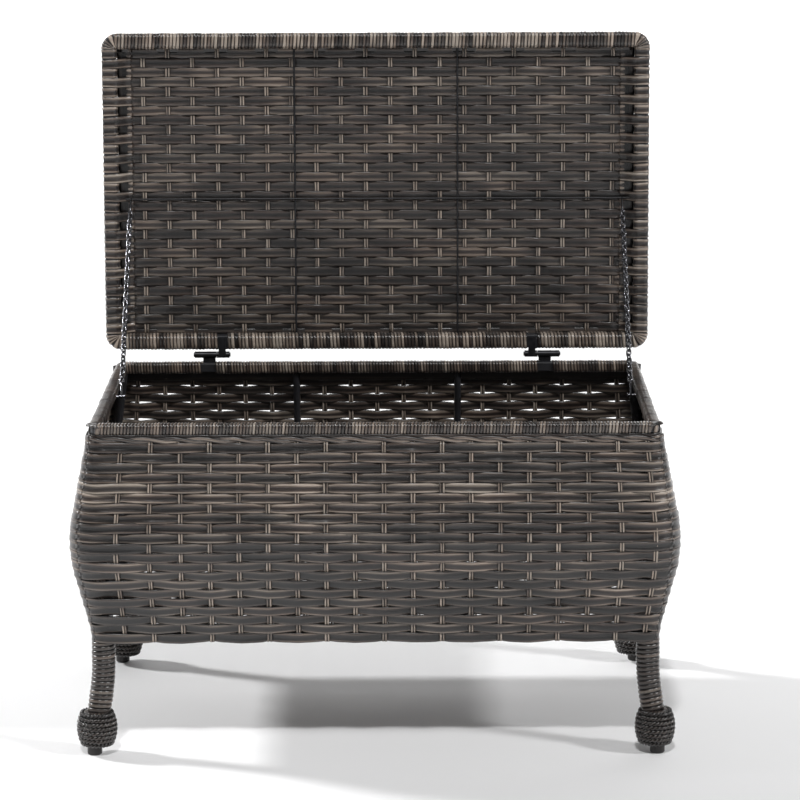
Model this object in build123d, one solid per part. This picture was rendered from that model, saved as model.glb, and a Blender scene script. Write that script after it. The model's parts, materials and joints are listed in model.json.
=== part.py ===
from build123d import *
import math
import os

# Resin-wicker storage coffee table: a bombe-sided woven chest on four wrapped legs,
# with a hinged lid that stands open on two stay chains.
# Units are millimetres. +Z is up, the front faces -Y, and the origin is on the floor
# under the centre of the chest.

# ---- overall sizes ----
rim_length = 800.0
rim_depth = 490.0
rim_top = 478.0
body_bottom = 163.0
corner_radius = 16.0

# ---- wrapped rim rail ----
wrap_thickness = 2.0
rim_rail_width = 13.0
rim_rail_height = 14.0
rim_edge_radius = 5.0
tube_wall = 1.5
tube_edge_radius = 1.8

# ---- bombe wall, as outward offsets from the rim's outer face ----
top_offset = 5.0
belly_offset = 36.5
hem_offset = 3.5
belly_height = 300.0
hem_rise = 13.0
belly_radius = 190.0
hem_radius = 60.0
skin_thickness = 5.0
skin_clearance = 0.3

# ---- frame inside the woven skin ----
post_radius = 7.5
rib_radius = 5.0
rail_overrun = 5.0
rib_share = 0.155
base_rail_width = 16.0
base_rail_height = 16.0
base_gap = 2.0
floor_thickness = 5.0
floor_seat = 4.0
floor_corner_radius = 22.0

# ---- legs and feet ----
leg_tube_radius = 11.0
leg_tube_wall = 2.0
leg_wrap_radius = 17.0
leg_inset = 2.1
leg_bend_height = 112.0
leg_bend_radius = 80.0
leg_splay = 23.3
leg_end_height = 20.0
ball_radius = 28.0
ball_end_radius = 22.0
ball_centre_height = 38.5
ball_half_height = 24.5
cap_radius = 10.5
cap_height = 14.0
cap_edge_radius = 3.0
cap_neck_radius = 8.0
cap_neck_overlap = 4.0
cap_plug_clearance = 0.2
cap_plug_length = 12.0

# ---- hinge line ----
hinge_rise = 9.0
lid_lean = 2.0
knuckle_radius = 5.0
pin_radius = 2.5
pin_clearance = 0.05
pin_head_radius = 3.5
pin_head_length = 1.0
pin_hole_overrun = 5.0
hinge_inner = 226.5
hinge_split = 246.0
hinge_outer = 280.0
knuckle_gap = 0.5
lid_plate_inner = 232.0
lid_plate_outer = 243.0
lid_plate_reach = 27.0
lid_riser_back = 3.0
lid_riser_front = 4.0
body_plate_inner = 248.0
body_plate_outer = 267.0
body_plate_drop = 15.0
notch_clearance = 0.3

# ---- lid ----
lid_end_overhang = 16.0
lid_front_overhang = 2.0
lid_back_gap = 8.0
lid_seat_gap = 1.0
lid_corner_radius = 24.0
lid_rail_width = 20.0
lid_rail_height = 24.0
lid_edge_radius = 7.0
panel_thickness = 6.0
panel_recess = 2.0
wire_radius = 1.5
wire_gap = 0.3
cross_wire_offset = 11.0

# ---- stay chains ----
chain_inset = 25.0
chain_pin_y = 20.0
chain_pin_drop = 12.0
chain_pin_radius = 2.0
chain_pin_reach = 14.0
chain_head_radius = 4.0
chain_head_length = 1.5
hook_length = 20.0
hook_wire_radius = 1.1
hook_inner_radius = 2.4
chain_radius = 2.5
chain_gap = 0.2
knee_gap = 3.0

# ---- room round the blocks that only cut ----
cut_margin = 1.0
small_radius = 1.0
mitre_out = 50.0
mitre_in = 60.0

# ---- heights and faces that follow from the sizes above ----
rim_height = rim_rail_height + 2 * wrap_thickness
rim_width = rim_rail_width + 2 * wrap_thickness
rim_bottom = rim_top - rim_height
rim_tube_bottom = rim_bottom + wrap_thickness
skin_top = rim_bottom - skin_clearance
base_bottom = body_bottom + base_gap
base_top = base_bottom + base_rail_height
hem_height = body_bottom + hem_rise
rib_x = rib_share * rim_length
base_inset = skin_thickness - hem_offset + skin_clearance
corner_x = rim_length / 2 - corner_radius
corner_y = rim_depth / 2 - corner_radius
base_corner_radius = corner_radius - base_inset
top_slope = (belly_offset - top_offset) / (skin_top - belly_height)
hem_slope = (belly_offset - hem_offset) / (belly_height - hem_height)

hinge_y = rim_depth / 2
hinge_z = rim_top + hinge_rise
lid_bottom = rim_top + lid_seat_gap
lid_height = lid_rail_height + 2 * wrap_thickness
lid_width = lid_rail_width + 2 * wrap_thickness
lid_top = lid_bottom + lid_height
lid_back = hinge_y - lid_back_gap
lid_length = rim_length + 2 * lid_end_overhang
lid_depth = rim_depth / 2 + lid_front_overhang + lid_back
lid_centre_y = lid_back - lid_depth / 2
panel_bottom = lid_top - panel_recess - panel_thickness
long_wire_z = panel_bottom - wire_gap - wire_radius
cross_wire_z = long_wire_z - 2 * wire_radius
cross_wire_y = lid_centre_y + cross_wire_offset
open_angle = 90.0 + lid_lean
chain_x = rim_length / 2 - chain_inset
chain_pin_z = rim_top - chain_pin_drop
leg_slope = leg_splay / leg_bend_height
big_block = 2 * (rim_length + rim_depth)

os.makedirs("parts", exist_ok=True)


def save(name, shape):
    """Write one node's STEP file."""
    export_step(shape, "parts/" + name + ".step")


def group(solids):
    """Several separate solids that make one node."""
    return Compound(children=[solid.solids()[0] for solid in solids])


def box_between(low, high):
    """A box from its lowest corner to its highest corner."""
    sizes = [high[i] - low[i] for i in range(3)]
    centre = [(high[i] + low[i]) / 2 for i in range(3)]
    return Pos(*centre) * Box(*sizes)


def rod_x(x_from, x_to, y, z, radius):
    """A round rod along X."""
    middle = (x_from + x_to) / 2
    return Pos(middle, y, z) * Rot(0, 90, 0) * Cylinder(radius, abs(x_to - x_from))


def rod_y(y_from, y_to, x, z, radius):
    """A round rod along Y."""
    middle = (y_from + y_to) / 2
    return Pos(x, middle, z) * Rot(90, 0, 0) * Cylinder(radius, abs(y_to - y_from))


# ---- rectangular rings: the rim, the base frame and the lid's edge ----

def slab(length, depth, radius, bottom, top):
    """A flat plate with rounded corners."""
    return Pos(0, 0, bottom) * extrude(RectangleRounded(length, depth, radius), top - bottom)


def ring(length, depth, radius, width, bottom, top, edge):
    """A frame of rectangular section with rounded long edges."""
    outer = slab(length, depth, radius, bottom, top)
    inner_radius = max(radius - width, small_radius)
    hole = slab(length - 2 * width, depth - 2 * width, inner_radius, bottom - cut_margin, top + cut_margin)
    frame = outer - hole
    long_edges = frame.edges().filter_by_position(Axis.Z, bottom, bottom)
    long_edges += frame.edges().filter_by_position(Axis.Z, top, top)
    return fillet(long_edges, edge) if edge > 0 else frame


def tube_ring(length, depth, radius, width, bottom, top):
    """A closed frame of rectangular tube."""
    solid = ring(length, depth, radius, width, bottom, top, tube_edge_radius)
    bore = ring(length - 2 * tube_wall, depth - 2 * tube_wall, radius - tube_wall,
                width - 2 * tube_wall, bottom + tube_wall, top - tube_wall, 0)
    return solid - bore


def mitre(side, length, depth):
    """The quarter of a frame on one side, cut along the corners' diagonals."""
    far_x = length / 2 + mitre_out
    far_y = depth / 2 + mitre_out
    near_x = length / 2 - mitre_in
    near_y = depth / 2 - mitre_in
    outlines = {
        "front": [(-far_x, -far_y), (far_x, -far_y), (near_x, -near_y), (-near_x, -near_y)],
        "back": [(-far_x, far_y), (-near_x, near_y), (near_x, near_y), (far_x, far_y)],
        "left": [(-far_x, -far_y), (-near_x, -near_y), (-near_x, near_y), (-far_x, far_y)],
        "right": [(far_x, -far_y), (far_x, far_y), (near_x, near_y), (near_x, -near_y)],
    }
    quarter = make_face(Polyline(*outlines[side], close=True))
    return extrude(quarter, amount=big_block, both=True)


SIDES = ["front", "back", "left", "right"]
CORNERS = [("front_left", -1, -1), ("front_right", 1, -1), ("back_left", -1, 1), ("back_right", 1, 1)]


# ---- the bombe wall ----

def skin_line(inset):
    """The skin's upright outline at a corner: distance from the corner's axis, and height."""
    start = corner_radius - inset
    points = [(start + top_offset, skin_top), (start + belly_offset, belly_height),
              (start + hem_offset, hem_height), (start + hem_offset, body_bottom)]
    return FilletPolyline(*points, radius=[belly_radius, hem_radius])


def frame_line(inset):
    """The line of a post or a rib inside the skin, run a little past both of its rails."""
    start = corner_radius - inset
    top = rim_tube_bottom + rail_overrun
    bottom = base_top - rail_overrun
    points = [(start + top_offset - top_slope * (top - skin_top), top),
              (start + belly_offset, belly_height),
              (start + hem_offset + hem_slope * (bottom - hem_height), bottom)]
    return FilletPolyline(*points, radius=belly_radius)


def skin_face():
    """The woven skin's section, standing in the XZ plane."""
    outer = skin_line(0)
    inner = skin_line(skin_thickness)
    section = make_face([outer, Line(outer @ 1, inner @ 1), inner, Line(inner @ 0, outer @ 0)])
    return Plane.XZ * section


def woven_wall(straight):
    """One woven wall facing +X, with half of the rounded corner at each end."""
    face = skin_face()
    half = straight / 2
    wall = extrude(face, amount=half, both=True)
    wall += revolve(Pos(0, half, 0) * face, Axis((0, half, 0), (0, 0, 1)), 45)
    wall += revolve(Pos(0, -half, 0) * face, Axis((0, -half, 0), (0, 0, -1)), 45)
    return wall


def place_on_side(shape, side):
    """Turn a shape that faces +X, measured from the corner axes, to its own side."""
    turn = {"right": 0, "back": 90, "left": 180, "front": 270}[side]
    reach = corner_x if side in ("left", "right") else corner_y
    return Rot(0, 0, turn) * Pos(reach, 0, 0) * shape


def tube_along(line, radius):
    """A solid round bar along a planar line drawn in the XZ plane."""
    path = Plane.XZ * line
    start = Plane(path @ 0, z_dir=path % 0)
    return sweep(start * Circle(radius), path=path)


def place_at_corner(shape, sx, sy):
    """Turn a shape drawn towards +X to point out of one corner, on that corner's axis."""
    turn = math.degrees(math.atan2(sy, sx))
    return Pos(sx * corner_x, sy * corner_y, 0) * Rot(0, 0, turn) * shape


def upright(radius):
    """A bar inside the skin, cut off level against the base rail and the rim rail."""
    bar = tube_along(frame_line(skin_thickness + skin_clearance + radius), radius)
    return bar & slab(big_block, big_block, small_radius, base_top, rim_tube_bottom)


def wall_ribs():
    """Two ribs in the front wall, two in the back and one in each end."""
    ribs = []
    for side in ("front", "back"):
        for x in (-rib_x, rib_x):
            ribs.append(Pos(x, 0, 0) * place_on_side(upright(rib_radius), side))
    for side in ("left", "right"):
        ribs.append(place_on_side(upright(rib_radius), side))
    return ribs


# ---- legs ----

def leg_reach(height):
    """How far out of the corner's axis the splayed part of the leg is at a height."""
    return leg_inset + leg_slope * (leg_bend_height - height)


def leg_line(top, bottom):
    """The leg's centre line: straight down, then splayed outwards."""
    points = [(leg_inset, top), (leg_inset, leg_bend_height), (leg_reach(bottom), bottom)]
    return FilletPolyline(*points, radius=leg_bend_radius)


def leg_end_plane():
    """The plane at the tube's lower end, facing up the tube."""
    path = Plane.XZ * leg_line(base_bottom, leg_end_height)
    return Plane(path @ 1, z_dir=(path % 1) * -1)


def leg_tube():
    line = leg_line(base_bottom, leg_end_height)
    return tube_along(line, leg_tube_radius) - tube_along(line, leg_tube_radius - leg_tube_wall)


def ball_blank():
    """A full, barrel-like ball with a flat top and bottom, in its place on the leg."""
    low = (ball_end_radius, -ball_half_height)
    high = (ball_end_radius, ball_half_height)
    side_line = ThreePointArc(low, (ball_radius, 0), high)
    section = make_face([side_line, Polyline(high, (0, ball_half_height), (0, -ball_half_height), low)])
    ball = revolve(Plane.XZ * section, Axis.Z)
    return Pos(leg_reach(ball_centre_height), 0, ball_centre_height) * ball


def leg_core():
    return tube_along(leg_line(base_bottom, leg_end_height), leg_tube_radius)


def foot_cap():
    """A dark plastic glide with a plug that enters the leg tube."""
    centre = leg_reach(cap_height)
    disc = Pos(centre, 0, cap_height / 2) * Cylinder(cap_radius, cap_height)
    disc = fillet(disc.edges().sort_by(Axis.Z)[0], cap_edge_radius)
    plug_radius = leg_tube_radius - leg_tube_wall - cap_plug_clearance
    neck_height = leg_end_height - cap_height + cap_neck_overlap
    neck = Pos(centre, 0, cap_height + neck_height / 2) * Cylinder(cap_neck_radius, neck_height)
    plug = extrude(leg_end_plane() * Circle(plug_radius), cap_plug_length)
    bore = extrude(leg_end_plane() * Circle(plug_radius), amount=leg_end_height, both=True)
    return disc + (neck & bore) + plug


def ball_foot():
    """The woven ball round the tube's lower end, open for the tube and for the glide's plug."""
    below = extrude(leg_end_plane() * Circle(leg_tube_radius), amount=-leg_end_height)
    return ball_blank() - leg_core() - below


def leg_wrap():
    """The wicker wound round the leg, from the chest down to the ball."""
    line = leg_line(body_bottom - skin_clearance, ball_centre_height)
    return tube_along(line, leg_wrap_radius) - leg_core() - ball_blank()


# ---- hinges ----

def hinge_side_box(side, inner, outer, y_low, y_high, z_low, z_high):
    """A box at the left (-1) or right (+1) hinge."""
    x_low, x_high = sorted((side * inner, side * outer))
    return box_between((x_low, y_low, z_low), (x_high, y_high, z_high))


def pin_hole(side):
    return rod_x(side * (hinge_inner - pin_hole_overrun), side * (hinge_outer + pin_hole_overrun),
                 hinge_y, hinge_z, pin_radius + pin_clearance)


def body_plate(side, grow=0.0):
    """The leaf let into the rim's wrapping, flush with its back."""
    return hinge_side_box(side, body_plate_inner - grow, body_plate_outer + grow,
                          rim_depth / 2 - wrap_thickness, rim_depth / 2 + grow,
                          rim_top - body_plate_drop - grow, hinge_z)


def body_hinge(side):
    barrel = rod_x(side * (hinge_split + knuckle_gap), side * hinge_outer, hinge_y, hinge_z, knuckle_radius)
    return body_plate(side) + barrel - pin_hole(side)


def lid_plate(side, grow=0.0):
    """The leaf let into the lid's wrapping, flush with its underside, lid shut."""
    return hinge_side_box(side, lid_plate_inner - grow, lid_plate_outer + grow,
                          hinge_y - lid_plate_reach - grow, hinge_y + lid_riser_back,
                          lid_bottom - grow, lid_bottom + wrap_thickness)


def lid_hinge(side):
    """The lid's leaf and knuckle, lid shut."""
    riser = hinge_side_box(side, lid_plate_inner, lid_plate_outer, hinge_y - lid_riser_front,
                           hinge_y + lid_riser_back, lid_bottom, hinge_z)
    barrel = rod_x(side * hinge_inner, side * hinge_split, hinge_y, hinge_z, knuckle_radius)
    return lid_plate(side) + riser + barrel - pin_hole(side)


def hinge_pin(side):
    pin = rod_x(side * hinge_inner, side * hinge_outer, hinge_y, hinge_z, pin_radius)
    for end, way in ((hinge_inner, -1), (hinge_outer, 1)):
        start = end + way * knuckle_gap
        head = rod_x(side * start, side * (start + way * pin_head_length), hinge_y, hinge_z, pin_head_radius)
        neck = rod_x(side * end, side * start, hinge_y, hinge_z, pin_radius)
        pin += head + neck
    return pin


# ---- lid, drawn shut and then turned open about the hinge line ----

def open_lid(shape):
    """Turn a shape that belongs to the shut lid to its place on the open lid."""
    return Pos(0, hinge_y, hinge_z) * Rot(-open_angle, 0, 0) * Pos(0, -hinge_y, -hinge_z) * shape


def at_lid(shape):
    return Pos(0, lid_centre_y, 0) * shape


def lid_wires():
    """Two wires from back to front and one across them, each a bar of its own."""
    reach = lid_depth / 2 - wrap_thickness - lid_rail_width
    wires = [rod_y(lid_centre_y - reach, lid_centre_y + reach, x, long_wire_z, wire_radius)
             for x in (-rib_x, rib_x)]
    side_reach = lid_length / 2 - wrap_thickness - lid_rail_width
    wires.append(rod_x(-side_reach, side_reach, cross_wire_y, cross_wire_z, wire_radius))
    return wires


def lid_edge():
    """The lid's tube frame and its wrapping, as two full rings, lid shut."""
    tube_length = lid_length - 2 * wrap_thickness
    tube_depth = lid_depth - 2 * wrap_thickness
    low = lid_bottom + wrap_thickness
    high = lid_top - wrap_thickness
    radius = lid_corner_radius - wrap_thickness
    core = ring(tube_length, tube_depth, radius, lid_rail_width, low, high, tube_edge_radius)
    tube = tube_ring(tube_length, tube_depth, radius, lid_rail_width, low, high)
    wrap = ring(lid_length, lid_depth, lid_corner_radius, lid_width, lid_bottom, lid_top, lid_edge_radius)
    return at_lid(tube), at_lid(wrap - core)


# ---- stay chains ----

def chain_pin(side):
    """The headed pin on the rim's inner face that the chain's lower hook hangs on."""
    face = rim_length / 2 - wrap_thickness - rim_rail_width
    tip = face - chain_pin_reach
    shank = rod_x(side * tip, side * face, chain_pin_y, chain_pin_z, chain_pin_radius)
    head = rod_x(side * (tip - chain_head_length), side * tip, chain_pin_y, chain_pin_z, chain_head_radius)
    return shank + head


def lid_anchor():
    """Where the chain hangs on the cross wire with the lid open, as (y, z)."""
    turn = math.radians(-open_angle)
    dy = cross_wire_y - hinge_y
    dz = cross_wire_z - hinge_z
    y = hinge_y + dy * math.cos(turn) - dz * math.sin(turn)
    z = hinge_z + dy * math.sin(turn) + dz * math.cos(turn)
    return y, z


def oval_link(inner_length, inner_radius, link_wire):
    """A closed oval link along +X, lying in the XZ plane, centred on its middle."""
    run = inner_length / 2 - inner_radius
    radius = inner_radius + link_wire
    line = Line((-run, radius), (run, radius))
    line += ThreePointArc((run, radius), (run + radius, 0), (run, -radius))
    line += Line((run, -radius), (-run, -radius))
    line += ThreePointArc((-run, -radius), (-run - radius, 0), (-run, radius))
    path = Plane.XZ * line
    start = Plane(origin=(0, 0, radius), z_dir=(1, 0, 0))
    return sweep(start * Circle(link_wire), path=path)


def chain_half(length):
    """A hook and the plain run of chain below it, along +X from the anchor at the origin."""
    inner = hook_length + 2 * hook_inner_radius
    hook = Pos(hook_length / 2, 0, 0) * oval_link(inner, hook_inner_radius, hook_wire_radius)
    start = hook_length + hook_inner_radius + 2 * hook_wire_radius + chain_gap
    end = length - knee_gap / 2
    run = Pos((start + end) / 2, 0, 0) * Rot(0, 90, 0) * Cylinder(chain_radius, end - start)
    return [hook, run]


def chain_halves(side):
    """The upper half hangs on the lid's cross wire, the lower half on the rim's pin."""
    y, z = lid_anchor()
    shut_drop = cross_wire_z - chain_pin_z
    span = math.hypot(y - chain_pin_y, z - chain_pin_z)
    slope = math.degrees(math.atan2(z - chain_pin_z, y - chain_pin_y))
    down = Pos(side * chain_x, y, z) * Rot(0, 0, 90) * Rot(0, 180 - slope, 0)
    up = Pos(side * chain_x, chain_pin_y, chain_pin_z) * Rot(0, 0, 90) * Rot(0, -slope, 0)
    upper = [down * solid for solid in chain_half((span + shut_drop) / 2)]
    lower = [up * solid for solid in chain_half((span - shut_drop) / 2)]
    return upper, lower


# ---- build and write ----

rim_tube = tube_ring(rim_length - 2 * wrap_thickness, rim_depth - 2 * wrap_thickness,
                     corner_radius - wrap_thickness, rim_rail_width, rim_tube_bottom,
                     rim_top - wrap_thickness)
rim_core = ring(rim_length - 2 * wrap_thickness, rim_depth - 2 * wrap_thickness,
                corner_radius - wrap_thickness, rim_rail_width, rim_tube_bottom,
                rim_top - wrap_thickness, tube_edge_radius)
rim_wrap = ring(rim_length, rim_depth, corner_radius, rim_width, rim_bottom, rim_top, rim_edge_radius)
rim_wrap -= rim_core
base_tube = tube_ring(rim_length - 2 * base_inset, rim_depth - 2 * base_inset, base_corner_radius,
                      base_rail_width, base_bottom, base_top)
posts = {name: place_at_corner(upright(post_radius), sx, sy) for name, sx, sy in CORNERS}
ribs = wall_ribs()
for solid in list(posts.values()) + ribs:
    rim_wrap -= solid
for side in (-1, 1):
    rim_wrap -= body_plate(side, notch_clearance)
    rim_wrap -= chain_pin(side)

for side in SIDES:
    cut = mitre(side, rim_length, rim_depth)
    save("rim_rail_" + side, rim_tube & cut)
    save("rim_wrap_" + side, rim_wrap & cut)
    save("base_rail_" + side, base_tube & cut)
    straight = 2 * (corner_y if side in ("left", "right") else corner_x)
    save("woven_wall_" + side, place_on_side(woven_wall(straight), side))

for name, sx, sy in CORNERS:
    save("corner_post_" + name, posts[name])
    save("leg_tube_" + name, place_at_corner(leg_tube(), sx, sy))
    save("leg_wrap_" + name, place_at_corner(leg_wrap(), sx, sy))
    save("ball_foot_" + name, place_at_corner(ball_foot(), sx, sy))
    save("foot_cap_" + name, place_at_corner(foot_cap(), sx, sy))

save("wall_ribs", group(ribs))
floor_inset = base_inset + base_rail_width - floor_seat
save("woven_floor", slab(rim_length - 2 * floor_inset, rim_depth - 2 * floor_inset,
                         floor_corner_radius, base_top, base_top + floor_thickness))
bar_reach = rim_depth / 2 - base_inset - base_rail_width
save("floor_bars", group([
    box_between((x - base_rail_width / 2, -bar_reach, base_bottom),
                (x + base_rail_width / 2, bar_reach, base_top)) for x in (-rib_x, rib_x)]))

wires = lid_wires()
lid_tube, lid_wrap = lid_edge()
for wire in wires:
    lid_wrap -= wire
for side in (-1, 1):
    lid_wrap -= lid_plate(side, notch_clearance)
for side in SIDES:
    cut = at_lid(mitre(side, lid_length, lid_depth))
    save("lid_rail_" + side, open_lid(lid_tube & cut))
    save("lid_wrap_" + side, open_lid(lid_wrap & cut))
panel = slab(lid_length - 2 * lid_width, lid_depth - 2 * lid_width, small_radius,
             panel_bottom, panel_bottom + panel_thickness)
save("lid_panel", open_lid(at_lid(panel)))
save("lid_wires", group([open_lid(wire) for wire in wires]))

for name, side in (("left", -1), ("right", 1)):
    save("hinge_body_leaf_" + name, body_hinge(side))
    save("hinge_lid_leaf_" + name, open_lid(lid_hinge(side)))
    upper, lower = chain_halves(side)
    save("chain_upper_" + name, group(upper))
    save("chain_lower_" + name, group(lower))
save("hinge_pins", group([hinge_pin(side) for side in (-1, 1)]))
save("chain_pins", group([chain_pin(side) for side in (-1, 1)]))
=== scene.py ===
import json
import math

import bpy
import numpy as np
from mathutils import Euler, Matrix, Vector


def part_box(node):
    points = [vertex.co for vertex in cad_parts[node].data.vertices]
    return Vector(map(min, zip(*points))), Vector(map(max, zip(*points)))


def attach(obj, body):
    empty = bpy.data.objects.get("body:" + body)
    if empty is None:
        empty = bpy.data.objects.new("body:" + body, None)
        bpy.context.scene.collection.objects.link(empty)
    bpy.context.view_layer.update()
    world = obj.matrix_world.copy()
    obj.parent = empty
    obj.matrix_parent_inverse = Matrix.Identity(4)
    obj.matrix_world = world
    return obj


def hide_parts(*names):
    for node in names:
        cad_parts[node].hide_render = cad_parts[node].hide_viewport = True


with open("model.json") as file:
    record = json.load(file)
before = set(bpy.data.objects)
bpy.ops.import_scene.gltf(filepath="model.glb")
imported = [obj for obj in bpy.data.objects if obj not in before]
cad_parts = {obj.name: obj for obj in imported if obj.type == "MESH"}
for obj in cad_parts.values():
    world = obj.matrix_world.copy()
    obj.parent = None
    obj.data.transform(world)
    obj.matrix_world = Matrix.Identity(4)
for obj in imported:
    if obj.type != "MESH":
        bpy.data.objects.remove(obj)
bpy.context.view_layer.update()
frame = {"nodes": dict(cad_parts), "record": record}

# Resin-wicker storage chest table: a bombe woven body on four wrapped legs, its lid standing
# open on two stay chains. Metres, +Z up, the front faces -Y.

# ---- weave ----
STRAND_WIDTH = 0.0149
STRAND_THICK = 0.0026
STRAND_PINCH = 0.0024  # how much a strand narrows where it dips behind a stake
BACK_PINCH = 0.0015
PINCH_REACH = 0.0075
ROW_PITCH = 0.0143
ROW_DRIFT = 0.0009
WEAVE_SWING = 0.0029
SKIN_MIDDLE = 0.0030  # the weave's middle, in from the wall's outer face
EDGE_FADE = 0.02  # past the last stake a strand straightens out over this run
EDGE_RISE = 0.35
STAKE_RADIUS = 0.00175
STAKE_SPREAD = 0.0019
STAKE_SWING = 0.0007
STAKE_PITCH = 0.0406
STAKE_SHIFT = 0.013
STAKE_WANDER = 0.0004
STAKE_TONE = 0.66
STAKE_GAP_SHADE_WIDTH = 0.0072  # painted shade: the near-black strip behind a pair of stakes, standing in for the shade in the gap
STAKE_GAP_SHADE_THICK = 0.0008
STAKE_GAP_SHADE_TONE = 0.10
CORNER_RADIUS = 0.016
RUN_RADIUS = 0.03  # where the run round a corner is measured, so stakes keep their places
BINDING_DROP = 0.0075
SAMPLE_STEP = 0.0046

# ---- tone along a strand ----
PAINTED_RIDGE_LIGHT_GROOVE_SHADE = 2.50  # painted highlight and painted shade: how much lighter a section's ridges are painted than its grooves
GROOVE_LEVEL = 0.37
SHADE_SCALE = 0.085
MOTTLE_SCALE = 0.030
TINT_SCALE = 0.16
TINT_RANGE = 0.35
UV_STEP = (1.37, 0.61)  # keeps the grain of one strand from lining up with the next

# ---- lid ----
LID_STAKE_PITCH = 0.0376
LID_STAKE_SHIFT = 0.003
LID_SIDE_ZONE = 0.020
LID_ROW_PITCH = 0.0146
LID_ROUND = 0.0065  # edge radius of the lid's side rails, at the strands
PANEL_SWING = 0.0026
PANEL_EDGE_STRAND = 0.015

# ---- wraps ----
RIM_TURN = 0.0046
LID_TURN = 0.0052
LEG_TURN = 0.0066
SIDE_TURN = 0.0145
WRAP_THICK = 0.0030
WRAP_JITTER = 0.0006

# ---- legs and ball feet ----
LEG_RADIUS = 0.017
LEG_THICK = 0.0038
LEG_BEND = 0.112  # height at which a leg turns outwards
LEG_SOFTNESS = 0.016
LEG_TUCK = 0.004  # how far the wrap reaches into the ball
BALL_ROWS = 8
BALL_STRAND = 0.0024
BALL_TWISTS = 13
BALL_RODS = 20

# ---- chains ----
LINK_PITCH = 0.0076
LINK_WIRE = 0.00135
LINK_HALF_WIDTH = 0.0034
LINK_TILTS = (-52, 38)  # degrees, link by link
HOOK_RUN = 0.020
HOOK_RADIUS = 0.0035
HOOK_WIRE = 0.0012

X_WAY = np.array([1.0, 0, 0])
Y_WAY = np.array([0, 1.0, 0])
Z_WAY = np.array([0, 0, 1.0])

RNG = np.random.default_rng(7)


# ---- small maths ----

def smooth_noise(x, seed, scale):
    """One smooth random value for each x, the same on every run."""
    size = 4096
    start = 517.3
    table = np.random.default_rng(seed).uniform(-1, 1, size)
    t = np.asarray(x, float) / scale + start
    i = np.floor(t).astype(int)
    f = t - i
    f = f * f * (3 - 2 * f)
    return table[i % size] * (1 - f) + table[(i + 1) % size] * f


def unit(v):
    return v / np.maximum(np.linalg.norm(v, axis=-1, keepdims=True), 1e-12)


def resample(points, step):
    """The points of a polyline, evenly spaced about step apart."""
    points = np.asarray(points, float)
    gaps = np.linalg.norm(np.diff(points, axis=0), axis=1)
    run = np.concatenate([[0], np.cumsum(gaps)])
    count = max(2, int(round(run[-1] / step)) + 1)
    at = np.linspace(0, run[-1], count)
    return np.stack([np.interp(at, run, points[:, k]) for k in range(points.shape[1])], axis=1)


# ---- sections, as (across, out) pairs of a strand one wide and one thick ----

FLAT = np.array([(-.50, .0), (-.455, .38), (-.37, .50), (-.21, .26), (.02, .20), (.17, .34), (.33, .50),
                 (.455, .38), (.50, .0), (.40, -.44), (.24, -.46), (.0, -.22), (-.24, -.46), (-.40, -.44)])
OVAL = np.array([(math.cos(a) * .5, math.sin(a) * .5) for a in np.linspace(0, 2 * math.pi, 9)[:-1]])[::-1]
ROUND = np.array([(-.5, .0), (-.42, .30), (-.22, .47), (.0, .5), (.22, .47), (.42, .30), (.5, .0), (.3, -.4),
                  (-.3, -.4)])
TAPE = np.array([(-.5, -.1), (-.40, .32), (-.14, .5), (.14, .5), (.40, .32), (.5, -.1), (.2, -.5),
                 (-.2, -.5)])


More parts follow.
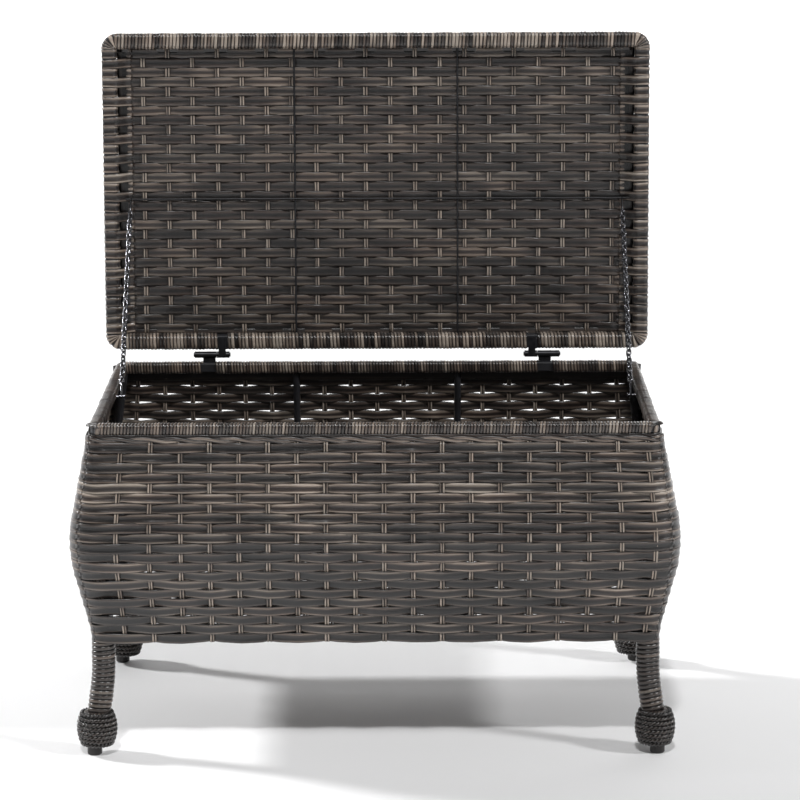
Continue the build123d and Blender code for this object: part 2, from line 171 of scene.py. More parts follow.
class Strands:
    """Gathers swept strands into one mesh with a tone, a hue and a strand UV."""

    def __init__(self):
        self.points = []
        self.faces = []
        self.tone = []
        self.hue = []
        self.uv = []
        self.count = 0
        self.seed = 0

    def add(self, path, side, out, section, width, thick, tone=0.5, closed=False, seed=None, spread=0.19):
        """Sweeps a section along a path. side runs across the strand and out is its outer face."""
        path = np.asarray(path, float)
        n = len(path)
        m = len(section)
        width = np.broadcast_to(width, (n,))
        thick = np.broadcast_to(thick, (n,))
        side = unit(np.broadcast_to(side, (n, 3)))
        out = unit(np.broadcast_to(out, (n, 3)))
        ring = (path[:, None, :]
                + side[:, None, :] * (section[None, :, 0:1] * width[:, None, None])
                + out[:, None, :] * (section[None, :, 1:2] * thick[:, None, None]))
        handed = np.sum(np.cross(side, np.gradient(path, axis=0)) * out)
        i = np.arange(n if closed else n - 1)[:, None]
        j = np.arange(m)[None, :]
        i2 = (i + 1) % n
        j2 = (j + 1) % m
        faces = [np.stack([i * m + j, i * m + j2, i2 * m + j2, i2 * m + j], axis=-1).reshape(-1, 4)]
        if not closed:
            k = np.arange(1, m - 1)
            last = (n - 1) * m
            faces.append(np.stack([0 * k, k + 1, k, k], axis=1))
            faces.append(np.stack([last + 0 * k, last + k, last + k + 1, last + k + 1], axis=1))
        faces = np.concatenate(faces)
        if handed < 0:
            faces = self.turned(faces)
        gaps = np.linalg.norm(np.diff(path, axis=0), axis=1)
        along = np.concatenate([[0], np.cumsum(gaps)])
        self.seed += 1
        seed = self.seed if seed is None else seed
        shade = (tone + spread * smooth_noise(along, 11 + seed * 7, SHADE_SCALE)
                 + 0.5 * spread * smooth_noise(along, 23 + seed * 5, MOTTLE_SCALE))
        tint = 0.5 + TINT_RANGE * smooth_noise(along, 71 + seed * 3, TINT_SCALE)
        self.points.append(ring.reshape(-1, 3))
        self.faces.append(faces + self.count)
        # painted light: points far from the strand's middle plane are painted lighter (painted highlight on
        # the ridges), points near it darker (painted shade in the grooves and at the sides)
        painted_ridge_light = PAINTED_RIDGE_LIGHT_GROOVE_SHADE * (np.abs(section[:, 1]) - GROOVE_LEVEL)
        self.tone.append((shade[:, None] + painted_ridge_light[None, :]).ravel())
        self.hue.append(np.repeat(tint, m))
        across = np.tile(section[:, 0], n) * np.repeat(width, m)
        down = np.repeat(along + seed * UV_STEP[0], m)
        self.uv.append(np.stack([down, across + seed * UV_STEP[1]], axis=1))
        self.count += n * m

    @staticmethod
    def turned(faces):
        """The same faces wound the other way; a triangle repeats its third point."""
        flipped = faces[:, [0, 3, 2, 1]]
        tri = faces[:, 2] == faces[:, 3]
        flipped[tri] = faces[tri][:, [0, 2, 1, 1]]
        return flipped

    def build(self, name, material):
        """The mesh object."""
        points = np.concatenate(self.points)
        quads = np.concatenate(self.faces)
        tri = quads[:, 2] == quads[:, 3]
        faces = [tuple(q) for q in quads[~tri].tolist()] + [tuple(q[:3]) for q in quads[tri].tolist()]
        mesh = bpy.data.meshes.new(name)
        mesh.from_pydata(points.tolist(), [], faces)
        for key, values in (("tone", self.tone), ("hue", self.hue)):
            layer = mesh.attributes.new(key, "FLOAT", "POINT")
            layer.data.foreach_set("value", np.concatenate(values).astype(np.float32))
        uv = np.concatenate(self.uv).astype(np.float32)
        corner = np.zeros(len(mesh.loops), np.int32)
        mesh.loops.foreach_get("vertex_index", corner)
        layer = mesh.uv_layers.new(name="strand")
        layer.data.foreach_set("uv", uv[corner].ravel())
        mesh.polygons.foreach_set("use_smooth", np.ones(len(mesh.polygons), bool))
        mesh.materials.append(material)
        mesh.update()
        thing = bpy.data.objects.new(name, mesh)
        bpy.context.scene.collection.objects.link(thing)
        return thing


# ---- materials ----

def new_material(name):
    """A material with its node tree and its shader."""
    material = bpy.data.materials.new(name)
    material.use_nodes = True
    tree = material.node_tree
    shader = tree.nodes["Principled BSDF"]
    return material, tree, shader


def node(tree, kind, **inputs):
    made = tree.nodes.new(kind)
    for key, value in inputs.items():
        made.inputs[key.replace("_", " ")].default_value = value
    return made


def ramp(tree, fac, stops):
    made = tree.nodes.new("ShaderNodeValToRGB")
    made.color_ramp.elements[0].position = stops[0][0]
    made.color_ramp.elements[0].color = stops[0][1]
    made.color_ramp.elements[1].position = stops[-1][0]
    made.color_ramp.elements[1].color = stops[-1][1]
    for place, colour in stops[1:-1]:
        made.color_ramp.elements.new(place).color = colour
    tree.links.new(fac, made.inputs["Fac"])
    return made.outputs["Color"]


def srgb(text):
    """A linear colour from its six hex digits."""
    parts = [int(text[k:k + 2], 16) / 255 for k in (0, 2, 4)]
    linear = [c / 12.92 if c <= 0.04045 else ((c + 0.055) / 1.055) ** 2.4 for c in parts]
    return (*linear, 1.0)


def mix(tree, blend, fac, a, b):
    made = tree.nodes.new("ShaderNodeMix")
    made.data_type = "RGBA"
    made.blend_type = blend
    if isinstance(fac, float):
        made.inputs["Factor"].default_value = fac
    else:
        tree.links.new(fac, made.inputs["Factor"])
    tree.links.new(a, made.inputs["A"])
    tree.links.new(b, made.inputs["B"])
    return made.outputs["Result"]


def strand_noise(tree, along, across, detail=3.0):
    """Noise stretched along the strand, from its own UV in metres."""
    uv = tree.nodes.new("ShaderNodeUVMap")
    uv.uv_map = "strand"
    scaled = tree.nodes.new("ShaderNodeVectorMath")
    scaled.operation = "MULTIPLY"
    scaled.inputs[1].default_value = (along, across, 0.0)
    tree.links.new(uv.outputs["UV"], scaled.inputs[0])
    made = node(tree, "ShaderNodeTexNoise", Scale=1.0, Detail=detail, Roughness=0.6)
    tree.links.new(scaled.outputs[0], made.inputs["Vector"])
    return made.outputs["Fac"]


def wicker(name, stops, rough=0.42):
    """Extruded resin wicker: mottled colour along each strand, fine lengthwise grain, satin gloss."""
    material, tree, shader = new_material(name)
    tone = tree.nodes.new("ShaderNodeAttribute")
    tone.attribute_name = "tone"
    hue = tree.nodes.new("ShaderNodeAttribute")
    hue.attribute_name = "hue"
    streak = strand_noise(tree, along=22.0, across=900.0)
    grain = strand_noise(tree, along=60.0, across=2400.0, detail=2.0)
    both = tree.nodes.new("ShaderNodeMath")
    both.operation = "MULTIPLY_ADD"
    tree.links.new(streak, both.inputs[0])
    both.inputs[1].default_value = 0.50
    tree.links.new(tone.outputs["Fac"], both.inputs[2])
    shift = tree.nodes.new("ShaderNodeMath")
    shift.operation = "SUBTRACT"
    tree.links.new(both.outputs[0], shift.inputs[0])
    shift.inputs[1].default_value = 0.25
    warm = ramp(tree, shift.outputs[0], [(p, srgb(w)) for p, w, c in stops])
    cool = ramp(tree, shift.outputs[0], [(p, srgb(c)) for p, w, c in stops])
    tree.links.new(mix(tree, "MIX", hue.outputs["Fac"], warm, cool), shader.inputs["Base Color"])
    rough_map = tree.nodes.new("ShaderNodeMapRange")
    rough_map.inputs["To Min"].default_value = rough - 0.10
    rough_map.inputs["To Max"].default_value = rough + 0.14
    tree.links.new(grain, rough_map.inputs["Value"])
    tree.links.new(rough_map.outputs[0], shader.inputs["Roughness"])
    bump = node(tree, "ShaderNodeBump", Strength=0.60, Distance=0.0005)
    tree.links.new(streak, bump.inputs["Height"])
    tree.links.new(bump.outputs["Normal"], shader.inputs["Normal"])
    shader.inputs["Specular IOR Level"].default_value = 0.7
    shader.inputs["Sheen Weight"].default_value = 0.05
    shader.inputs["Sheen Roughness"].default_value = 0.4
    return material


def object_noise(tree, scale, detail=4.0):
    place = tree.nodes.new("ShaderNodeTexCoord")
    made = node(tree, "ShaderNodeTexNoise", Scale=scale, Detail=detail, Roughness=0.6)
    tree.links.new(place.outputs["Object"], made.inputs["Vector"])
    return made.outputs["Fac"]


def hard(name, dark, light, metallic, rough_low, rough_high, scale, bump_strength=0.15):
    """Metal or moulded plastic with slight wear in its colour, gloss and surface."""
    material, tree, shader = new_material(name)
    wear = object_noise(tree, scale)
    fine = object_noise(tree, scale * 9, 2.0)
    colour = ramp(tree, wear, [(0.30, srgb(dark)), (0.72, srgb(light))])
    tree.links.new(colour, shader.inputs["Base Color"])
    shader.inputs["Metallic"].default_value = metallic
    rough = tree.nodes.new("ShaderNodeMapRange")
    rough.inputs["To Min"].default_value = rough_low
    rough.inputs["To Max"].default_value = rough_high
    tree.links.new(fine, rough.inputs["Value"])
    tree.links.new(rough.outputs[0], shader.inputs["Roughness"])
    bump = node(tree, "ShaderNodeBump", Strength=bump_strength, Distance=0.0003)
    tree.links.new(fine, bump.inputs["Height"])
    tree.links.new(bump.outputs["Normal"], shader.inputs["Normal"])
    return material


# tone, then the warm and the cool colour at that tone
STOPS = [(0.0, "0b0807", "0a0909"), (0.28, "261d1a", "211e1d"), (0.55, "453832", "3d3834"),
         (0.80, "78695d", "6b635a"), (1.0, "ab9c8f", "988f84")]
WEAVE = wicker("wicker_weave", STOPS, 0.30)
WRAP = wicker("wicker_wrap", STOPS, 0.28)
STEEL = hard("powder_coated_steel", "17171a", "26262a", 0.0, 0.38, 0.60, 60.0)
HINGE = hard("hinge_steel", "1d1d20", "3a3a3d", 0.7, 0.28, 0.50, 90.0)
CHAIN = hard("chain_steel", "5c5c60", "97979c", 1.0, 0.10, 0.24, 160.0)
WIRE = hard("lid_wire", "0c0c0e", "1c1c20", 0.2, 0.30, 0.45, 80.0)
PLASTIC = hard("foot_plastic", "141213", "26211f", 0.0, 0.34, 0.52, 120.0)


# ---- the bombe wall, read from the CAD skin ----

def wall_outline():
    """Height and outward offset of the skin's outer face, from the bottom up, without its dips."""
    mesh = frame["nodes"]["woven_wall_right"].data
    co = np.array([v.co for v in mesh.vertices])
    rim_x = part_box("rim_wrap_right")[1].x
    heights = np.unique(np.round(co[:, 2], 5))
    level = 2e-5
    found = []
    for z in heights:
        near = np.abs(co[:, 2] - z) < level
        found.append((z, co[near, 0].max() - rim_x))
    found = np.array(found)
    near_by = 0.022
    slack = 0.0012
    keep = []
    for z, reach in found:
        below = found[(found[:, 0] < z) & (found[:, 0] > z - near_by)]
        above = found[(found[:, 0] > z) & (found[:, 0] < z + near_by)]
        best = reach
        for z0, u0 in below:
            for z1, u1 in above:
                best = max(best, u0 + (u1 - u0) * (z - z0) / (z1 - z0))
        if best - reach < slack:
            keep.append((z, reach))
    return np.array(keep)


OUTLINE = wall_outline()
RIM_HALF_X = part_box("rim_wrap_right")[1].x
RIM_HALF_Y = -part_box("rim_wrap_front")[0].y
AXIS_X = RIM_HALF_X - CORNER_RADIUS
AXIS_Y = RIM_HALF_Y - CORNER_RADIUS
RIM_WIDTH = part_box("rim_wrap_front")[1].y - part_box("rim_wrap_front")[0].y


def outline_track():
    """The skin's outline as evenly spaced (offset, z), with its run from the bottom."""
    track = resample(np.stack([OUTLINE[:, 1], OUTLINE[:, 0]], axis=1), 0.001)
    gaps = np.linalg.norm(np.diff(track, axis=0), axis=1)
    return track, np.concatenate([[0], np.cumsum(gaps)])


TRACK, TRACK_RUN = outline_track()


def on_outline(t):
    """Offset, height and upward tangent (offset, z) at a run along the outline."""
    t = np.asarray(t, float)
    u = np.interp(t, TRACK_RUN, TRACK[:, 0])
    z = np.interp(t, TRACK_RUN, TRACK[:, 1])
    step = 0.004
    a = np.clip(t - step, 0, TRACK_RUN[-1])
    b = np.clip(t + step, 0, TRACK_RUN[-1])
    du = np.interp(b, TRACK_RUN, TRACK[:, 0]) - np.interp(a, TRACK_RUN, TRACK[:, 0])
    dz = np.interp(b, TRACK_RUN, TRACK[:, 1]) - np.interp(a, TRACK_RUN, TRACK[:, 1])
    size = np.hypot(du, dz)
    return u, z, du / size, dz / size


SIDE_TURNS = {"right": 0.0, "back": 0.5 * math.pi, "left": math.pi, "front": 1.5 * math.pi}


def wall_axes(side):
    """How far out a wall's corner axes stand, and half the distance between them."""
    return (AXIS_X, AXIS_Y) if side in ("left", "right") else (AXIS_Y, AXIS_X)


def turn_to(side, x, y):
    """A place or a direction of the right wall, turned round to another wall."""
    c = math.cos(SIDE_TURNS[side])
    s = math.sin(SIDE_TURNS[side])
    return x * c - y * s, x * s + y * c


def plan_line(side, radius):
    """One wall's plan from mid corner to mid corner: x, y, outward normal and run from its middle."""
    reach, half = wall_axes(side)
    straight = max(2, int(round(2 * half / SAMPLE_STEP)) + 1)
    arc = 6
    angle = np.linspace(0, math.pi / 4, arc + 1)[1:]
    turn = np.concatenate([-angle[::-1], np.zeros(straight), angle])
    y = np.concatenate([np.full(arc, -half), np.linspace(-half, half, straight), np.full(arc, half)])
    px, py = turn_to(side, reach + radius * np.cos(turn), y + radius * np.sin(turn))
    nx, ny = turn_to(side, np.cos(turn), np.sin(turn))
    return px, py, nx, ny, y + RUN_RADIUS * turn


def weave_wave(run, stakes, parity):
    """+1 where the strand passes outside a stake, -1 where it passes inside, and nearness to the insides."""
    idx = np.arange(len(stakes))
    sign = np.where((idx + parity) % 2 == 0, 1.0, -1.0)
    wave = np.interp(run, stakes, sign)
    rounding = 0.15
    wave = (1 - rounding) * wave + rounding * np.sin(wave * math.pi / 2)
    inside = stakes[sign < 0]
    gap = np.min(np.abs(run[:, None] - inside[None, :]), axis=1)
    return wave, np.exp(-(gap / PINCH_REACH) ** 2)


def wall_stakes(side):
    """Where a wall's pairs of stakes stand, as runs from its middle."""
    half = wall_axes(side)[1]
    shift = STAKE_SHIFT if side == "front" else 0.0
    count = int((2 * half) / STAKE_PITCH)
    first = shift - STAKE_PITCH * (count // 2)
    places = first + STAKE_PITCH * np.arange(count + 1)
    clear_low = 0.004
    clear_high = 0.002
    return places[(places > -half + clear_low) & (places < half - clear_high)]


WALL_RUN = TRACK_RUN[-1] - BINDING_DROP
WALL_ROWS = int(round(WALL_RUN / ROW_PITCH))
WALL_PITCH = WALL_RUN / WALL_ROWS


def wall_tone(row):
    """Rows are painted lightest where the belly catches the light, six below the rim: a painted highlight."""
    painted_light_row = WALL_ROWS - 6
    # painted highlight: a band of rows painted lighter where the bombe belly faces the light
    light = 0.20 * math.exp(-((row - painted_light_row) / 2.4) ** 2)
    tone = 0.36 + light + 0.05 * smooth_noise(row, 61, 2.6)
    return tone + 0.03 * RNG.uniform(-1, 1)


def wall_strip(strands, side, stakes, row):
    """One flat strand of the body's weave."""
    run = plan_line(side, 0.0)[-1]
    wave, pinch = weave_wave(run, stakes, row)
    edge = np.clip((np.abs(run) - np.abs(stakes).max()) / EDGE_FADE, 0, 1)
    wave = wave * (1 - edge) + EDGE_RISE * edge
    drift = ROW_DRIFT * smooth_noise(run, 301 + row + 40 * ord(side[0]), 0.055)
    u, z, du, dz = on_outline((row + 0.5) * WALL_PITCH + drift)
    x, y, nx, ny, run = plan_line(side, CORNER_RADIUS + u)
    out = np.stack([nx * dz, ny * dz, -du], axis=1)
    across = np.stack([nx * du, ny * du, dz], axis=1)
    place = np.stack([x, y, z], axis=1) + out * (WEAVE_SWING * wave - SKIN_MIDDLE)[:, None]
    squeeze = BACK_PINCH if side == "back" else STRAND_PINCH
    width = STRAND_WIDTH - squeeze * pinch * (1 - edge)
    twist = 0.10 * smooth_noise(run, 901 + row, 0.07)
    side_way = across + out * twist[:, None]
    strands.add(place, side_way, facing(side_way, place, out), FLAT, width, STRAND_THICK, wall_tone(row))


def tangent(points):
    return unit(np.gradient(points, axis=0))


def facing(side_way, points, out):
    """The strand's outer face, square to its run and on the side of out."""
    made = np.cross(unit(side_way), tangent(points))
    flip = np.sign(np.sum(made * out, axis=1, keepdims=True))
    return made * np.where(flip == 0, 1, flip)


def wall_stake_pair(strands, side, place, number):
    """Two round stakes that run up the wall, with a near-black strip of painted shade behind them."""
    t = np.arange(0.0015, WALL_RUN + 0.004, 0.0050)
    u, z, du, dz = on_outline(t)
    row = t / WALL_PITCH - 0.5
    swing = -np.cos((row + number) * math.pi) * STAKE_SWING
    reach, half = wall_axes(side)
    fan = 1 + 0.45 * np.clip(np.abs(place) / half - 0.72, 0, 1) * u / 0.1
    side_way = np.array([*turn_to(side, 0.0, 1.0), 0.0])
    out_x, out_y = turn_to(side, 1.0, 0.0)
    out = np.stack([out_x * dz, out_y * dz, -du], axis=1)

    def line(y, depth):
        px, py = turn_to(side, reach + CORNER_RADIUS + u - depth * dz, y)
        return np.stack([px, py, z + depth * du], axis=1)

    for way in (-1, 1):
        wander = STAKE_WANDER * smooth_noise(t, 1500 + number * 9 + way, 0.05)
        points = line(place * fan + way * STAKE_SPREAD + wander, SKIN_MIDDLE - swing)
        strands.add(points, side_way, out, OVAL, 2 * STAKE_RADIUS, 2 * STAKE_RADIUS, STAKE_TONE, spread=0.2)
    points = line(place * fan, SKIN_MIDDLE)
    # painted shade: a near-black strip in the shaded gap behind the stakes
    strands.add(points, side_way, out, OVAL, STAKE_GAP_SHADE_WIDTH, STAKE_GAP_SHADE_THICK, STAKE_GAP_SHADE_TONE, spread=0.05)


def wall_binding(strands, side):
    """Two strands twined under the rim, over a near-black strip of painted shade."""
    u, z, du, dz = on_outline(TRACK_RUN[-1] - 0.0040)
    x, y, nx, ny, run = plan_line(side, CORNER_RADIUS + u)
    out = np.stack([nx, ny, np.zeros(len(nx))], axis=1)
    # painted shade: a near-black strip behind the binding, where there is only shade under the rim
    back = np.stack([x, y, np.full(len(x), z - 0.001)], axis=1) - out * 0.0052
    strands.add(back, Z_WAY, out, FLAT, 0.017, 0.0016, 0.12)
    rise = 0.0024
    swell = 0.0012
    for phase in (0.0, math.pi):
        a = run * math.pi / STAKE_PITCH + phase
        place = np.stack([x, y, z + rise * np.cos(a)], axis=1)
        place = place + out * (swell * np.sin(a) - 2 * swell)[:, None]
        strands.add(place, Z_WAY, out, OVAL, 0.0064, 0.0034, 0.42)


def build_walls():
    for side in ("front", "back", "left", "right"):
        strands = Strands()
        stakes = wall_stakes(side)
        for row in range(WALL_ROWS):
            wall_strip(strands, side, stakes, row)
        for number, place in enumerate(stakes):
            wall_stake_pair(strands, side, place, number)
        wall_binding(strands, side)
        thing = strands.build("weave_" + side, WEAVE)
        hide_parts("woven_wall_" + side)
        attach(thing, "chest")


# ---- wraps round straight rails ----

def rail_section(width, height, edge, samples):
    """Points and outward normals round a rounded rectangle, as (a, b) pairs, evenly spaced."""
    a = width / 2 - edge
    b = height / 2 - edge
    corners = [(a, b, 0.0), (-a, b, 0.5), (-a, -b, 1.0), (a, -b, 1.5)]
    steps = 8
    points = []
    for ca, cb, quarter in corners:
        for k in range(steps + 1):
            angle = (quarter + 0.5 * k / steps) * math.pi
            points.append((ca + edge * math.cos(angle), cb + edge * math.sin(angle), angle))
    points.append((points[0][0], points[0][1], 2 * math.pi))
    points = np.array(points)
    gaps = np.linalg.norm(np.diff(points[:, :2], axis=0), axis=1)
    run = np.concatenate([[0], np.cumsum(gaps)])
    at = np.linspace(0, run[-1], samples + 1)[:-1]
    return np.stack([np.interp(at, run, points[:, k]) for k in range(3)], axis=1)


def edge_run(half, reach, radius):
    """A rail's middle line from mid corner to mid corner: along p, out along q, its normals and bend."""
    arc = 7
    angle = np.linspace(0, math.pi / 4, arc + 1)[1:]
    turn = np.concatenate([-angle[::-1], np.zeros(2), angle])
    p = np.concatenate([np.full(arc + 1, -half), np.full(arc + 1, half)])
    curved = np.full(arc, 1 / radius)
    bend = np.concatenate([curved, np.zeros(2), curved])
    return (p + radius * np.sin(turn), reach + radius * np.cos(turn), np.sin(turn), np.cos(turn), bend)


def wrap_rail(strands, run_line, p_way, q_way, b_way, origin, width, height, edge, turn, thick, section,
              samples, tone, spread, gaps):
    """A strand wound round a rail. run_line is from edge_run; p_way, q_way and b_way are its axes.
    Along p it leaves each of the gaps bare."""
    p_way, q_way, b_way, origin = (np.asarray(v, float) for v in (p_way, q_way, b_way, origin))
    p, q, n_p, n_q, bend = run_line
    fine = resample(np.stack([p, q, n_p, n_q, bend], axis=1), 0.001)
    steps = np.linalg.norm(np.diff(fine[:, :2], axis=0), axis=1)
    run = np.concatenate([[0], np.cumsum(steps)])
    turns = max(1, int(round(run[-1] / turn)))
    ringed = rail_section(width - thick, height - thick, edge - thick / 2, samples)
    total = turns * samples
    at = np.arange(total + 1) / samples * (run[-1] / turns)
    at = np.clip(at + WRAP_JITTER * smooth_noise(at, 77 + total, 0.02), 0, run[-1])
    which = np.arange(total + 1) % samples
    p, q, n_p, n_q, bend = (np.interp(at, run, fine[:, k]) for k in range(5))
    base = origin + p[:, None] * p_way + q[:, None] * q_way
    a_way = unit(n_p[:, None] * p_way + n_q[:, None] * q_way)
    along = unit(n_q[:, None] * p_way - n_p[:, None] * q_way)
    pa = ringed[which, 0][:, None]
    pb = ringed[which, 1][:, None]
    lift = (0.0004 * smooth_noise(at, 19 + total, 0.009))[:, None]
    angle = ringed[which, 2][:, None]
    out = a_way * np.cos(angle) + b_way[None, :] * np.sin(angle)
    path = base + a_way * pa + b_way[None, :] * pb + out * lift
    overlap = 1.03
    wide = turn * overlap * np.clip(1 + pa[:, 0] * bend, 0.12, 3.0)
    keep = np.ones(total + 1, bool)
    for low, high in gaps:
        keep &= ~((p > low) & (p < high))
    edges = np.diff(np.concatenate([[0], keep.astype(int), [0]]))
    for number, (i, j) in enumerate(zip(np.flatnonzero(edges == 1), np.flatnonzero(edges == -1))):
        if j - i > samples // 2:
            strands.add(path[i:j], along[i:j], out[i:j], section, wide[i:j], thick, tone,
                        seed=strands.seed + 500 + number, spread=spread)


def leaf_gaps(leaf, start, end):
    """The stretches of a back rail under the two hinge leaves, left bare, from the leaves' inner ends."""
    gaps = []
    for name, way in (("left", -1), ("right", 1)):
        low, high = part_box(leaf + name)
        inner = min(abs(low.x), abs(high.x))
        gaps.append(tuple(sorted((way * (inner + start), way * (inner + end)))))
    return gaps


# ---- rim ----

def rim_piece(side):
    """The wrapping of one rim rail, left bare under the hinge leaves."""
    low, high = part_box("rim_wrap_" + side)
    height = high.z - low.z
    middle = (high.z + low.z) / 2
    radius = CORNER_RADIUS - RIM_WIDTH / 2
    strands = Strands()
    long_side = side in ("front", "back")
    reach, half = wall_axes(side)
    p_way = (1, 0, 0) if long_side else (0, 1, 0)
    q_way = {"front": (0, -1, 0), "back": (0, 1, 0), "left": (-1, 0, 0), "right": (1, 0, 0)}[side]
    gaps = leaf_gaps("hinge_body_leaf_", 0.001, 0.0215) if side == "back" else []
    turn = RIM_TURN if long_side else SIDE_TURN
    section = ROUND if long_side else FLAT
    wrap_rail(strands, edge_run(half, reach, radius), p_way, q_way, (0, 0, 1), (0, 0, middle),
              RIM_WIDTH, height, 0.005, turn, WRAP_THICK, section, samples=24, tone=0.36,
              spread=0.28 if long_side else 0.2, gaps=gaps)
    thing = strands.build("rim_wrap_" + side + "_strands", WRAP)
    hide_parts("rim_wrap_" + side)
    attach(thing, "chest")


def build_rim():
    for side in ("front", "back", "left", "right"):
        rim_piece(side)


# ---- lid ----

def lid_axes():
    """The open lid's own axes, from the CAD panel: its middle, the way up its depth and its outer face."""
    mesh = frame["nodes"]["lid_panel"].data
    co = np.array([v.co for v in mesh.vertices])
    middle = (co.min(0) + co.max(0)) / 2
    flat = co[:, 1:] - co[:, 1:].mean(0)
    way = np.linalg.svd(flat, full_matrices=False)[2][0]
    deep = np.array([0.0, way[0], way[1]])
    deep = deep if deep[2] > 0 else -deep
    face = np.cross(X_WAY, deep)
    face = face if face[1] > 0 else -face
    half = np.abs((co - middle) @ deep).max()
    return middle, deep, face, half


LID_MIDDLE, LID_UP, LID_OUT, PANEL_HALF = lid_axes()
PANEL_HALF_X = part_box("lid_panel")[1].x


def lid_extent(nodes):
    """The reach of CAD nodes along x, up the lid and out of it, from the panel's middle."""
    co = np.concatenate([np.array([v.co for v in frame["nodes"][n].data.vertices]) for n in nodes])
    local = np.stack([(co - LID_MIDDLE) @ w for w in (X_WAY, LID_UP, LID_OUT)], axis=1)
    return local.min(0), local.max(0)


LID_LOW, LID_HIGH = lid_extent(["lid_wrap_" + s for s in ("front", "back", "left", "right")])
LID_EDGE = LID_HIGH[0] - PANEL_HALF_X
LID_SECTION = LID_HIGH[2] - LID_LOW[2]
LID_FACE_MIDDLE = (LID_HIGH[2] + LID_LOW[2]) / 2


def lid_point(x, up, out):
    """A point of the open lid from its own coordinates."""
    x, up, out = np.broadcast_arrays(np.asarray(x, float), np.asarray(up, float), np.asarray(out, float))
    return (LID_MIDDLE[None, :] * (Y_WAY + Z_WAY) + x[:, None] * X_WAY
            + up[:, None] * LID_UP + out[:, None] * LID_OUT)


PANEL_ROWS = int(round(2 * PANEL_HALF / LID_ROW_PITCH))
PANEL_PITCH = 2 * PANEL_HALF / PANEL_ROWS


def panel_stakes():
    """Where the panel's pairs of stakes stand, as x."""
    count = int(2 * PANEL_HALF_X / LID_STAKE_PITCH)
    places = LID_STAKE_SHIFT + LID_STAKE_PITCH * (np.arange(count + 1) - (count - 1) / 2)
    clear = 0.006
    limit = PANEL_HALF_X - LID_SIDE_ZONE - clear
    return places[np.abs(places) < limit]


def panel_strip(strands, row, stakes):
    """One flat strand of the panel. It gives its tone, which its two ends round the rails share, painted
    lighter there.
    """
    up = -PANEL_HALF + (row + 0.5) * PANEL_PITCH
    reach = PANEL_HALF_X - LID_SIDE_ZONE
    x = np.linspace(-reach, reach, 160)
    wave, pinch = weave_wave(x, stakes, row)
    edge = np.clip((np.abs(x) - np.abs(stakes).max()) / 0.012, 0, 1)
    wave = wave * (1 - edge)
    drift = 0.0006 * smooth_noise(x, 2100 + row, 0.06)
    path = lid_point(x, up + drift, PANEL_SWING * wave)
    width = PANEL_PITCH + 0.0018 - 0.0010 * pinch
    tone = 0.35 + 0.06 * RNG.uniform(-1, 1)
    strands.add(path, LID_UP, LID_OUT, FLAT, width, STRAND_THICK, tone)
    return tone


def panel_stake_pair(strands, place, number):
    """Two round stakes up the panel, with a near-black strip of painted shade between them."""
    up = np.linspace(-PANEL_HALF, PANEL_HALF + 0.001, 2 * PANEL_ROWS + 1)
    row = (up + PANEL_HALF) / PANEL_PITCH - 0.5
    swing = np.cos((row + number) * math.pi) * STAKE_SWING
    for way in (-1, 1):
        wander = STAKE_WANDER * smooth_noise(up, 2500 + 3 * number + way, 0.06)
        path = lid_point(place + way * STAKE_SPREAD + wander, up, -swing)
        strands.add(path, X_WAY, LID_OUT, OVAL, 2 * STAKE_RADIUS, 2 * STAKE_RADIUS, STAKE_TONE, spread=0.2)
    path = lid_point(place, up, 0.0)
    # painted shade: a near-black strip in the shaded gap between the stakes
    strands.add(path, X_WAY, LID_OUT, OVAL, STAKE_GAP_SHADE_WIDTH, STAKE_GAP_SHADE_THICK, STAKE_GAP_SHADE_TONE, spread=0.05)


def rail_loop(under):
    """The way round a side rail, from its inner part on one face, round the outside and back:
    places and normal angles about the rail's middle."""
    half_a = (LID_EDGE - STRAND_THICK) / 2
    half_b = (LID_SECTION - STRAND_THICK) / 2
    ringed = rail_section(2 * half_a, 2 * half_b, LID_ROUND, 56)
    face = -half_b if under else half_b
    first = np.argmin(np.hypot(ringed[:, 0] + half_a * 0.55, ringed[:, 1] - face))
    order = np.roll(np.arange(len(ringed)), -first)
    if not under:
        order = np.roll(order[::-1], 1)
    return ringed[order[:50]]


def side_wrap_strip(strands, way, row, tone):
    """The end of one panel row: it rises to the rail, goes right round it and tucks in behind."""
    under = row % 2 == 0
    up = -PANEL_HALF + (row + 0.5) * PANEL_PITCH
    cx = PANEL_HALF_X + LID_EDGE / 2
    cz = LID_FACE_MIDDLE
    loop = rail_loop(under)
    start_x = PANEL_HALF_X - LID_SIDE_ZONE
    lead = np.linspace(0, 1, 9)[:-1]
    ease = lead * lead * (3 - 2 * lead)
    xs = np.concatenate([start_x + (cx + loop[0, 0] - start_x) * lead, cx + loop[:, 0]])
    outs = np.concatenate([ease * (cz + loop[0, 1]), cz + loop[:, 1]])
    normal_x = np.concatenate([np.zeros(len(lead)), np.cos(loop[:, 2])])
    normal_out = np.concatenate([np.full(len(lead), -1.0 if under else 1.0), np.sin(loop[:, 2])])
    slant = 0.0016 * smooth_noise(np.linspace(0, 0.1, len(xs)), 3100 + row + (9 if way > 0 else 0), 0.05)
    path = lid_point(way * xs, up + slant, outs)
    out = normal_x[:, None] * way * X_WAY + normal_out[:, None] * LID_OUT
    width = PANEL_PITCH * np.concatenate([np.full(len(lead), 1.04), np.full(len(loop), 0.99)])
    # painted highlight: the row's strand is painted 0.20 lighter where it goes round the rail
    strands.add(path, LID_UP, out, FLAT, width, STRAND_THICK, tone + 0.20)


